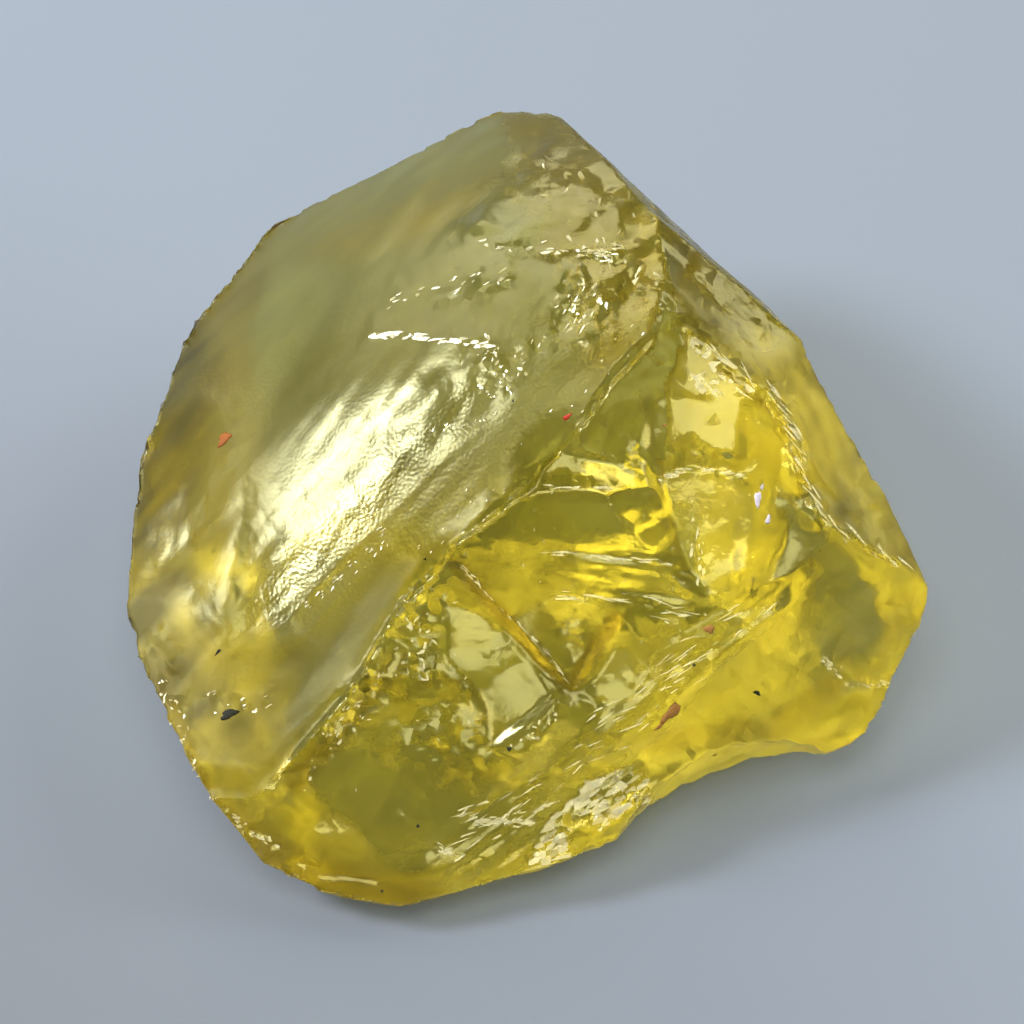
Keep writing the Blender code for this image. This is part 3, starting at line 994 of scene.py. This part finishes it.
for giver, taker in (
        (grain_place.outputs["Object"], grain_noise.inputs["Vector"]),
        (grain_in.outputs["Scale"], grain_noise.inputs["Scale"]),
        (grain_noise.outputs["Fac"], grain_mix.inputs["Factor"]),
        (grain_in.outputs["First Colour"], grain_mix.inputs["A"]),
        (grain_in.outputs["Second Colour"], grain_mix.inputs["B"]),
        (grain_noise.outputs["Fac"], grain_rough.inputs["Value"]),
        (grain_in.outputs["Smoothest"], grain_rough.inputs["To Min"]),
        (grain_in.outputs["Roughest"], grain_rough.inputs["To Max"]),
        (grain_noise.outputs["Fac"], grain_bump.inputs["Height"]),
        (grain_in.outputs["Relief"], grain_bump.inputs["Distance"]),
        (grain_mix.outputs["Result"], grain_out.inputs["Colour"]),
        (grain_rough.outputs["Result"], grain_out.inputs["Roughness"]),
        (grain_bump.outputs["Normal"], grain_out.inputs["Normal"])):
    mineral_grain.links.new(giver, taker)


def grained(name, colours, roughness, scale, relief):
    """A material whose skin varies with the mineral grain, and the shader of that skin."""
    finish = bpy.data.materials.new(name)
    finish.use_nodes = True
    tree = finish.node_tree
    skin = tree.nodes["Principled BSDF"]
    grain = tree.nodes.new("ShaderNodeGroup")
    grain.node_tree = mineral_grain
    grain.inputs["Scale"].default_value = scale
    grain.inputs["First Colour"].default_value = (*colours[0], 1.0)
    grain.inputs["Second Colour"].default_value = (*colours[1], 1.0)
    grain.inputs["Smoothest"].default_value = roughness[0]
    grain.inputs["Roughest"].default_value = roughness[1]
    grain.inputs["Relief"].default_value = relief
    tree.links.new(grain.outputs["Colour"], skin.inputs["Base Color"])
    tree.links.new(grain.outputs["Roughness"], skin.inputs["Roughness"])
    tree.links.new(grain.outputs["Normal"], skin.inputs["Normal"])
    return finish, skin


def in_view(angle):
    """The direction, square to the line of sight, at an angle in degrees up from across."""
    turn = math.radians(angle)
    return Vector(view_right) * math.cos(turn) + Vector(view_up) * math.sin(turn)


def flake_piece(name, colours, roughness, homes, seed):
    """One piece of domed flakes, each (across, down, half length, half width, angle) in pixels."""
    dice = np.random.default_rng(seed)
    made = bmesh.new()
    for across, down, long, wide, angle in homes:
        spot, facing, _, _ = skin_tree.ray_cast(Vector(view_from), sight_line(across, down))
        if spot is None:  # the rim's small chips can leave no skin there
            continue
        along = in_view(angle)
        along = (along - facing * along.dot(facing)).normalized()
        over = facing.cross(along)
        thick = FLAKE_THICKNESS * min(long, wide) * PIXEL
        rows = []
        for scale, height in FLAKE_ROWS:
            row = []
            for k in range(FLAKE_SIDES):
                turn = 2 * math.pi * k / FLAKE_SIDES
                wobble = 0.22 * math.sin(3 * turn + across) + 0.12 * math.sin(5 * turn + down)
                jag = scale * (1.0 + wobble)
                lump = FLAKE_LUMPS * dice.uniform(-1, 1)
                row.append(made.verts.new(spot + along * math.cos(turn) * long * PIXEL * jag
                                          + over * math.sin(turn) * wide * PIXEL * jag
                                          + facing * thick * (height + lump)))
            rows.append(row)
        for lower, upper in zip(rows[:-1], rows[1:]):
            for k in range(FLAKE_SIDES):
                n = (k + 1) % FLAKE_SIDES
                made.faces.new((lower[k], lower[n], upper[n], upper[k]))
        made.faces.new(rows[-1])
        made.faces.new(rows[0][::-1])
    bmesh.ops.triangulate(made, faces=made.faces)
    bmesh.ops.recalc_face_normals(made, faces=made.faces)
    for vertex in made.verts:
        vertex.co *= MM
    data = bpy.data.meshes.new(name)
    made.to_mesh(data)
    made.free()
    data.shade_smooth()
    piece = bpy.data.objects.new(name, data)
    bpy.context.scene.collection.objects.link(piece)
    finish, skin = grained(name, colours, roughness, FLAKE_GRAINS_PER_METRE, FLAKE_RELIEF)
    skin.inputs["Specular IOR Level"].default_value = FLAKE_GLOSS
    data.materials.append(finish)
    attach(piece, "root")
    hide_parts(STONE)


flake_piece(
    "dark_flakes", ((0.010, 0.012, 0.006), (0.03, 0.03, 0.015)), roughness=(0.6, 0.8), seed=61,
    homes=[(229, 714, 9, 4.5, 28), (218, 652, 4.5, 1.4, 45), (757, 693, 4.5, 2.0, -30),
           (694, 665, 1.8, 1.6, 0), (509, 749, 2.4, 2.2, 0), (418, 826, 1.6, 1.8, 0),
           (382, 891, 1.5, 1.5, 0), (425, 559, 1.6, 1.2, 0), (513, 401, 1.3, 1.1, 0)])
flake_piece(
    "rust_inclusions", ((0.24, 0.09, 0.015), (0.48, 0.24, 0.05)), roughness=(0.45, 0.7), seed=62,
    homes=[(671, 713, 13, 5.5, 47), (709, 629, 5.5, 4.0, 0), (659, 727, 5, 2, 40),
           (665, 425, 2, 1.6, 0)])
flake_piece(
    "red_flakes", ((0.40, 0.02, 0.008), (0.55, 0.06, 0.02)), roughness=(0.4, 0.6), seed=63,
    homes=[(567, 417, 5.0, 2.2, 35)])
flake_piece(
    "orange_flakes", ((0.26, 0.065, 0.008), (0.34, 0.12, 0.02)), roughness=(0.6, 0.8), seed=64,
    homes=[(224, 439, 8.5, 6.5, 60)])
flake_piece(
    "lilac_flakes", ((0.60, 0.54, 0.62), (0.72, 0.68, 0.74)), roughness=(0.3, 0.5), seed=65,
    homes=[(758, 499, 8, 3.5, 80), (768, 520, 5, 2.5, 75), (762, 487, 3, 2, 60)])

# ---------------------------------------------------------------------------------------------------
# Splinters. Tiny plates of the same crystal, pale as crushed crystal is, that still stand on the broken
# edges: they split away but didn't fall. Each turns a flat side to a light and flashes.
SPLINTER_THICK = 0.012
SPLINTER_LIFT = 0.02
SPLINTER_SIDES = 6
SPLINTER_SIZES = (0.5, 1.4)
ANGLE_SPREAD = 9.0
glinting = bmesh.new()


def splinters(where, count, long, wide, way, seed, angle=None, spread=0.10):
    """Stands plates on a region, sizes in pixels, facing between the camera and a light."""
    dice = np.random.default_rng(seed)
    chance = where * shown
    homes = dice.choice(len(seen), count, p=chance / chance.sum())
    for home in homes:
        facing = Vector(unit(unit(way + view_back) + dice.normal(0.0, spread, 3)))
        turned_by = dice.normal(angle, ANGLE_SPREAD) if angle is not None else dice.uniform(0.0, 180.0)
        along = in_view(turned_by)
        along = (along - facing * along.dot(facing)).normalized()
        over = facing.cross(along)
        half_long, half_wide = (0.5 * size * dice.uniform(*SPLINTER_SIZES) * PIXEL
                                for size in (long, wide))
        middle = Vector(points[home] + view_back * SPLINTER_LIFT)
        turns = np.sort(dice.uniform(0.0, 2 * math.pi, SPLINTER_SIDES))
        rings = []
        for lift in (-SPLINTER_THICK, 0.0):
            rings.append([glinting.verts.new((middle + along * half_long * math.cos(t)
                                              + over * half_wide * math.sin(t) + facing * lift) * MM)
                          for t in turns])
        glinting.faces.new(rings[1])
        glinting.faces.new(rings[0][::-1])
        for k in range(SPLINTER_SIDES):
            n = (k + 1) % SPLINTER_SIDES
            glinting.faces.new((rings[0][k], rings[0][n], rings[1][n], rings[1][k]))


splinters(beside([(368, 336), (400, 334), (450, 341), (486, 345)], 4), count=34, long=16, wide=4,
          way=LAMP_WAY, seed=101, angle=-6, spread=0.05)
splinters(beside([(432, 430), (455, 425), (492, 418), (500, 402), (480, 386)], 3), count=30, long=5,
          wide=2, way=LAMP_WAY, seed=102)
splinters(beside([(300, 604), (340, 580), (384, 540), (370, 505)], 12), count=50, long=5, wide=2,
          way=LAMP_WAY, seed=103, angle=45)
splinters(beside([(483, 350), (500, 385), (530, 350)], 18), count=36, long=6, wide=3, way=LAMP_WAY,
          seed=104)
splinters(beside([(483, 243), (540, 248), (618, 254)], 8), count=36, long=12, wide=3, way=LAMP_WAY,
          seed=105, angle=-8)
splinters(inside([(556, 290), (575, 268), (600, 290), (597, 330), (560, 330)], 3), count=26, long=9,
          wide=3, way=LAMP_WAY, seed=106, angle=60)
splinters(inside([(540, 150), (590, 160), (650, 215), (668, 285), (600, 320), (560, 240)], 6),
          count=26, long=12, wide=5, way=LAMP_WAY, seed=107, spread=0.22)
splinters(great * beside([(440, 540), (520, 470), (600, 390), (650, 320)], 30), count=40, long=4,
          wide=1.5, way=LAMP_WAY, seed=108, angle=42)
splinters(beside([(395, 300), (440, 292), (500, 272)], 14), count=24, long=9, wide=3, way=LAMP_WAY,
          seed=109, angle=25)
splinters(beside([(215, 700), (262, 702)], 14), count=12, long=7, wide=3, way=LAMP_WAY, seed=110,
          angle=20)
splinters(beside([(165, 680), (180, 740), (200, 795)], 16), count=30, long=7, wide=3, way=LAMP_WAY,
          seed=111)
splinters(inside(CRUMBS, 3), count=26, long=8, wide=3.5, way=FRONT_WAY, seed=112, spread=0.14)
splinters(beside([(310, 765), (345, 715), (384, 660)], 16), count=26, long=7, wide=3, way=FRONT_WAY,
          seed=113, angle=55, spread=0.14)
splinters(beside([(545, 551), (600, 557), (668, 563)], 4), count=22, long=16, wide=2.5,
          way=FRONT_WAY, seed=114, angle=-6, spread=0.06)
splinters(beside([(565, 590), (630, 602), (686, 612)], 12), count=18, long=24, wide=2.5,
          way=FRONT_WAY, seed=115, angle=-10, spread=0.07)
splinters(beside([(661, 479), (690, 467), (715, 471), (750, 478)], 3), count=24, long=12, wide=3,
          way=FRONT_WAY, seed=116, angle=4, spread=0.06)
splinters(beside([(690, 525), (702, 583)], 9), count=10, long=12, wide=3, way=FRONT_WAY, seed=117,
          angle=80, spread=0.08)
splinters(inside(TOP_RIGHT, 2), count=10, long=20, wide=7, way=FRONT_WAY, seed=118, angle=-48,
          spread=0.06)
splinters(beside([(541, 488), (600, 488), (650, 488)], 3), count=12, long=14, wide=2.5,
          way=FRONT_WAY, seed=119, angle=0, spread=0.08)
splinters(beside([(462, 566), (500, 608), (545, 650), (569, 684)], 2.5), count=26, long=14,
          wide=1.6, way=FRONT_WAY, seed=120, angle=-47, spread=0.06)
splinters(beside([(515, 752), (553, 718)], 9), count=12, long=6, wide=3, way=FRONT_WAY, seed=121)
splinters(beside(RIGHT_RIDGE[2:], 10), count=60, long=24, wide=2.2, way=SIDE_WAY, seed=122,
          angle=-52, spread=0.06)
splinters(inside(WHITE_CHIPS, 3), count=40, long=26, wide=10, way=FRONT_WAY, seed=123, angle=40,
          spread=0.10)
splinters(inside(WHITE_CHIPS, 5), count=30, long=9, wide=5, way=FRONT_WAY, seed=131, spread=0.14)
splinters(inside(LOW_CHIPS, 3), count=20, long=18, wide=8, way=FRONT_WAY, seed=124, angle=30,
          spread=0.10)
splinters(beside([(474, 824), (500, 820), (529, 824)], 5), count=24, long=14, wide=3, way=FRONT_WAY,
          seed=125, angle=5, spread=0.06)
splinters(band * beside([(446, 836), (560, 760), (747, 615)], 40), count=80, long=24, wide=1.8,
          way=FRONT_WAY, seed=126, angle=34, spread=0.07)
splinters(beside([(437, 846), (464, 858)], 5), count=14, long=10, wide=3, way=FRONT_WAY, seed=127,
          angle=-25)
splinters(beside([(823, 658), (850, 685), (892, 685)], 4), count=26, long=8, wide=3, way=FRONT_WAY,
          seed=128, angle=-30)
splinters(beside([(232, 818), (280, 849)], 6), count=26, long=8, wide=3, way=FRONT_WAY, seed=129,
          angle=-30)
splinters(inside([(440, 560), (640, 420), (750, 470), (740, 600), (560, 720), (330, 800)], 5),
          count=50, long=5, wide=1.5, way=FRONT_WAY, seed=130, spread=0.12)
splinters(beside([(470, 815), (510, 812), (545, 800)], 16), count=20, long=20, wide=3,
          way=FRONT_WAY, seed=132, angle=20, spread=0.08)
splinters(inside([(686, 338), (700, 341), (749, 385), (700, 398)], 3), count=14, long=14, wide=5,
          way=FRONT_WAY, seed=133, spread=0.08)

bmesh.ops.recalc_face_normals(glinting, faces=glinting.faces)
splinter_mesh = bpy.data.meshes.new("splinters")
glinting.to_mesh(splinter_mesh)
glinting.free()
splinter_piece = bpy.data.objects.new("splinters", splinter_mesh)
bpy.context.scene.collection.objects.link(splinter_piece)
pale, pale_skin = grained("pale_splinters", ((1.0, 0.95, 0.56), (1.0, 0.90, 0.36)), (0.20, 0.38),
                          scale=5000.0, relief=0.000004)
pale_skin.inputs["IOR"].default_value = TOPAZ_IOR
pale_skin.inputs["Transmission Weight"].default_value = 0.8
pale_skin.inputs["Specular IOR Level"].default_value = 0.9
pale_skin.inputs["Specular Tint"].default_value = (1.0, 0.99, 0.72, 1.0)
splinter_mesh.materials.append(pale)
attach(splinter_piece, "root")
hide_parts(STONE)

# ---------------------------------------------------------------------------------------------------
# The stage, which isn't part of the stone: a sheet of pale blue-grey paper just under it, a soft even
# sky, and five soft boxes. The great face throws the lamp's light back at the camera.
FLOOR_DROP = 0.03
FLOOR_SIZE = 4.0
FLOOR_COLOUR = (0.192, 0.222, 0.246, 1.0)
# Painted shade: the paper is made darker towards its front left corner.
FLOOR_SHADED_CORNER = (0.128, 0.142, 0.148, 1.0)
# Painted light: the paper glows faintly of itself, which lightens the shade under the stone.
FLOOR_GLOW = (0.045, 0.050, 0.054, 1.0)
CORNER_WAY = (-0.62, -0.78, 0.0)
CORNER_FROM, CORNER_FULL = -0.008, 0.030
SKY_COLOUR = (1.0, 0.99, 0.97, 1.0)
SKY_STRENGTH = 0.21

bpy.ops.mesh.primitive_plane_add(size=FLOOR_SIZE, location=(0.0, 0.0, -FLOOR_DROP * MM))
floor = bpy.context.object
floor.name = "floor"
paper = bpy.data.materials.new("paper")
paper.use_nodes = True
paper_nodes, paper_links = paper.node_tree.nodes, paper.node_tree.links
sheet = paper_nodes["Principled BSDF"]
sheet.inputs["Roughness"].default_value = 0.9
# The paper's painted glow.
sheet.inputs["Emission Color"].default_value = FLOOR_GLOW
sheet.inputs["Emission Strength"].default_value = 1.0
sheet_place = paper_nodes.new("ShaderNodeTexCoord")
toward_corner = paper_nodes.new("ShaderNodeVectorMath")
toward_corner.operation = "DOT_PRODUCT"
toward_corner.inputs[1].default_value = CORNER_WAY
paper_links.new(sheet_place.outputs["Object"], toward_corner.inputs[0])
shade = paper_nodes.new("ShaderNodeMapRange")
shade.interpolation_type = "SMOOTHSTEP"
shade.inputs["From Min"].default_value = CORNER_FROM
shade.inputs["From Max"].default_value = CORNER_FULL
paper_links.new(toward_corner.outputs["Value"], shade.inputs["Value"])
# The painted shade: towards the corner the paper's colour goes over to the darker one.
paper_mix = paper_nodes.new("ShaderNodeMix")
paper_mix.data_type = "RGBA"
paper_mix.inputs["A"].default_value = FLOOR_COLOUR
paper_mix.inputs["B"].default_value = FLOOR_SHADED_CORNER
paper_links.new(shade.outputs["Result"], paper_mix.inputs["Factor"])
paper_links.new(paper_mix.outputs["Result"], sheet.inputs["Base Color"])
floor.data.materials.append(paper)

sky = bpy.data.worlds.new("sky")
sky.use_nodes = True
sky.node_tree.nodes["Background"].inputs["Color"].default_value = SKY_COLOUR
sky.node_tree.nodes["Background"].inputs["Strength"].default_value = SKY_STRENGTH
bpy.context.scene.world = sky
sky.cycles.sampling_method = "NONE"

STONE_MIDDLE = Vector((0.0, 0.0, 6.0)) * MM


def soft_light(name, way, away, size, energy, colour):
    """A square soft box that looks at the stone from a direction, so far away and so wide."""
    data = bpy.data.lights.new(name, "AREA")
    data.size = size
    data.energy = energy
    data.color = colour
    light = bpy.data.objects.new(name, data)
    light.location = STONE_MIDDLE + Vector(way) * away
    light.rotation_mode = "QUATERNION"
    light.rotation_quaternion = (-Vector(way)).to_track_quat("-Z", "Y")
    bpy.context.scene.collection.objects.link(light)


BACK_WAY = unit((-0.35, 0.78, 0.52))
soft_light("lamp", LAMP_WAY, away=0.30, size=0.07, energy=0.80, colour=(0.97, 1.0, 1.28))
soft_light("lamp_halo", LAMP_WAY, away=0.45, size=0.20, energy=0.10, colour=(1.0, 1.0, 1.1))
soft_light("back_light", BACK_WAY, away=0.50, size=0.36, energy=1.45, colour=(1.0, 0.98, 0.90))
soft_light("overhead_light", FRONT_WAY, away=0.50, size=0.28, energy=1.60, colour=(1.0, 0.99, 0.95))
soft_light("side_light", SIDE_WAY, away=0.50, size=0.28, energy=1.25, colour=(1.0, 1.0, 1.05))

# The camera has the view that the breaks were placed in.
CLOSEST_SEEN, FARTHEST_SEEN = 0.001, 10.0
camera_data = bpy.data.cameras.new("view")
camera_data.lens = VIEW_LENS
camera_data.sensor_width = VIEW_SENSOR
camera_data.clip_start = CLOSEST_SEEN
camera_data.clip_end = FARTHEST_SEEN
camera = bpy.data.objects.new("view", camera_data)
camera.location = Vector(view_from) * MM
camera.rotation_mode = "QUATERNION"
camera.rotation_quaternion = (-Vector(view_back)).to_track_quat("-Z", "Y")
bpy.context.scene.collection.objects.link(camera)
bpy.context.scene.camera = camera

# How many times light may pass or bounce on its way through the stone.
LIGHT_PASSES = 8
bpy.context.scene.view_settings.view_transform = "Standard"
bpy.context.scene.cycles.use_light_tree = False
bpy.context.scene.cycles.diffuse_bounces = 2
bpy.context.scene.cycles.max_bounces = LIGHT_PASSES
bpy.context.scene.cycles.transmission_bounces = LIGHT_PASSES
